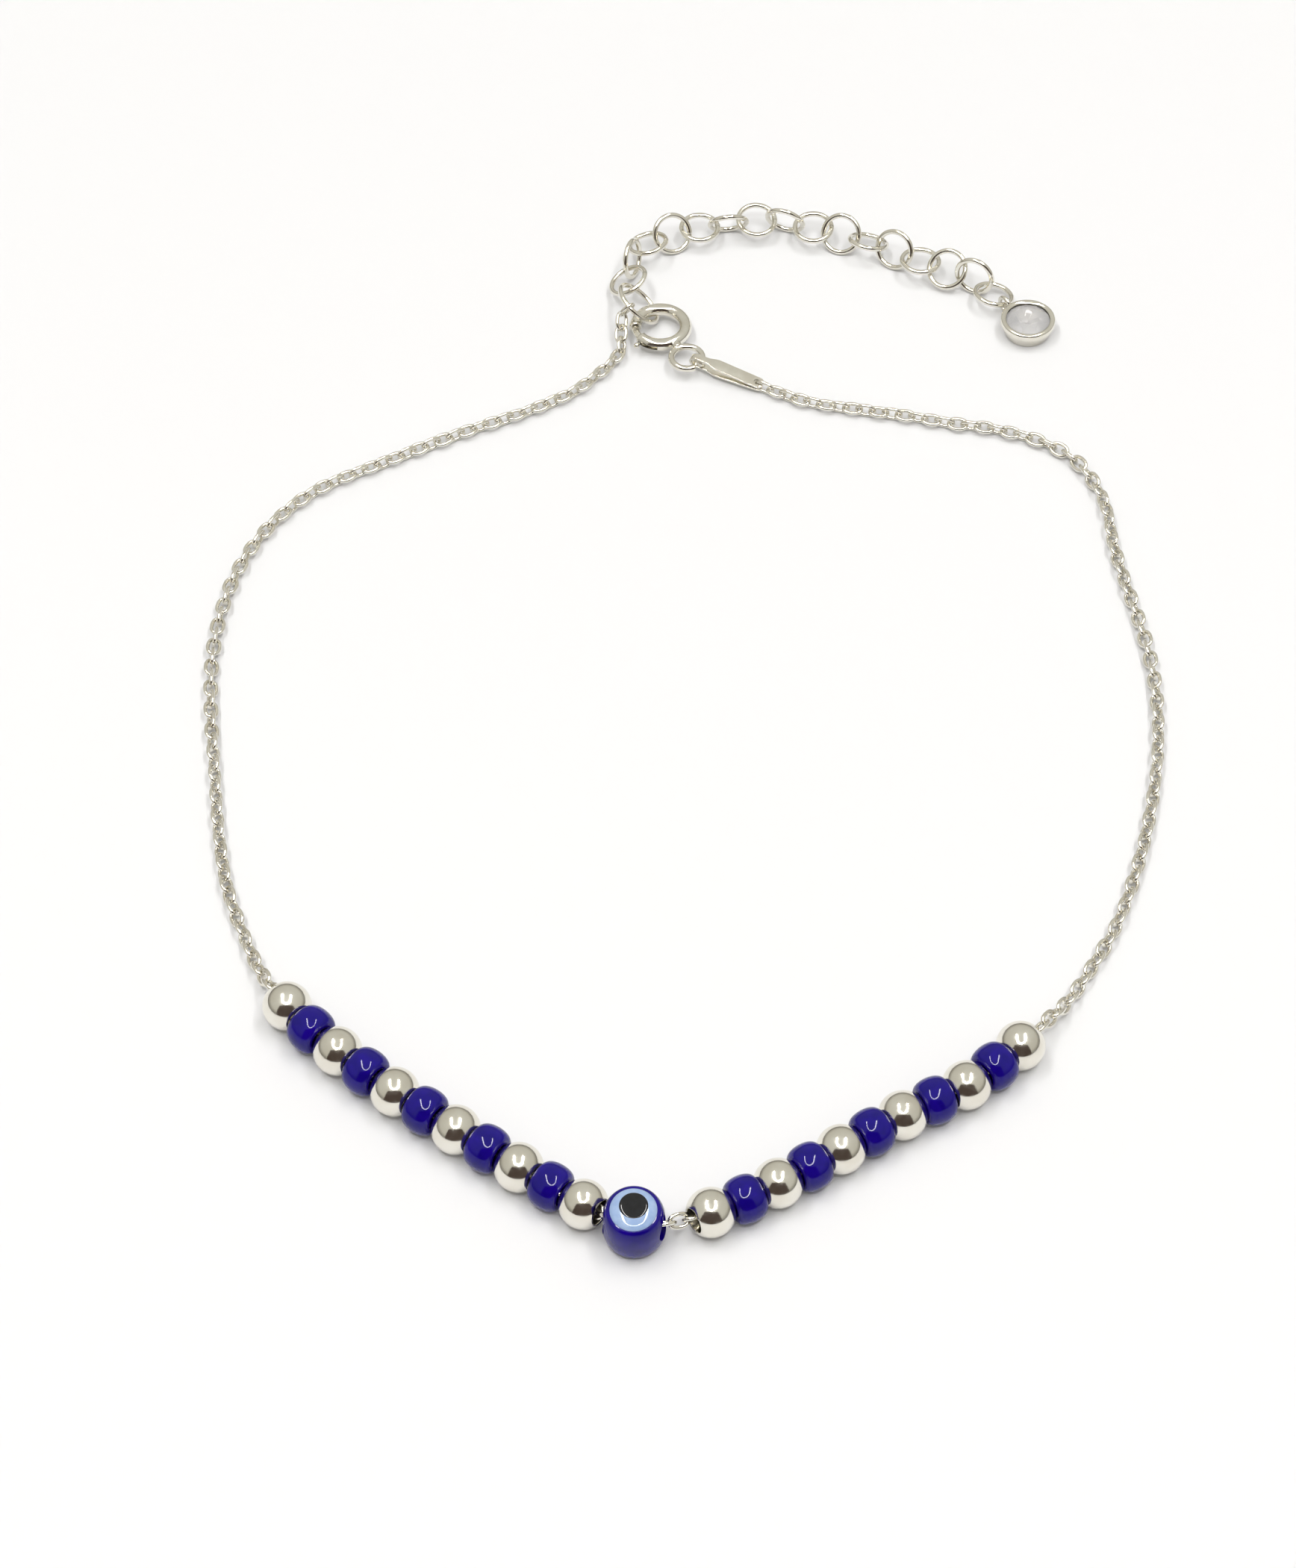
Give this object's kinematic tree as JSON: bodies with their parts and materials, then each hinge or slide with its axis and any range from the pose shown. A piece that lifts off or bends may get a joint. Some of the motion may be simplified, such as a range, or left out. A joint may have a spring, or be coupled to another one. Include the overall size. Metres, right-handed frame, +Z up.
{
  "type": "anklet",
  "caption": "Fastened anklet: fine chain threaded through silver balls and blue glass barrels with a central eye bead, closed by a spring ring, with an extender ending in a bezel-set drop.",
  "frame": {"origin": "centre of the bounding box of the fastened, lying anklet, on the surface it rests on", "axes": "+Z up from the surface, +Y from the eye bead towards the clasp, +X to the right seen from the eye bead"},
  "size_m": [0.0719, 0.1035, 0.0044],
  "materials": {
    "silver": "polished silver",
    "cobalt_glass": "glossy opaque glass",
    "pale_glass": "glossy opaque glass",
    "black_glass": "glossy opaque glass",
    "clear_stone": "polished clear cut stone"
  },
  "bodies": {
    "anklet": {"chain_left": "silver", "chain_right": "silver", "ball_left_1": "silver", "ball_left_2": "silver", "ball_left_3": "silver", "ball_left_4": "silver", "ball_left_5": "silver", "ball_left_6": "silver", "ball_right_1": "silver", "ball_right_2": "silver", "ball_right_3": "silver", "ball_right_4": "silver", "ball_right_5": "silver", "ball_right_6": "silver", "blue_left_1": "cobalt_glass", "blue_left_2": "cobalt_glass", "blue_left_3": "cobalt_glass", "blue_left_4": "cobalt_glass", "blue_left_5": "cobalt_glass", "blue_right_1": "cobalt_glass", "blue_right_2": "cobalt_glass", "blue_right_3": "cobalt_glass", "blue_right_4": "cobalt_glass", "blue_right_5": "cobalt_glass", "eye_bead": "cobalt_glass", "eye_iris": "pale_glass", "eye_pupil": "black_glass", "clasp_ring": "silver", "clasp_tag": "silver", "end_ring": "silver", "extender_link_01": "silver", "extender_link_02": "silver", "extender_link_03": "silver", "extender_link_04": "silver", "extender_link_05": "silver", "extender_link_06": "silver", "extender_link_07": "silver", "extender_link_08": "silver", "extender_link_09": "silver", "extender_link_10": "silver", "extender_link_11": "silver", "extender_link_12": "silver", "extender_link_13": "silver", "extender_link_14": "silver", "extender_link_15": "silver", "drop_ring": "silver", "drop_bezel": "silver", "drop_stone": "clear_stone"},
    "bolt": {"clasp_bolt": "silver"}
  },
  "joints": [
    {"name": "bolt_slide", "type": "hinge", "parent": "anklet", "child": "bolt", "pos_m": [-0.00165, 0.03765, 0.0011], "axis": [0, 0, 1], "range_deg": [0, 32], "stiffness_Nm_per_rad": 0.0005, "springref_deg": -17.19}
  ]
}
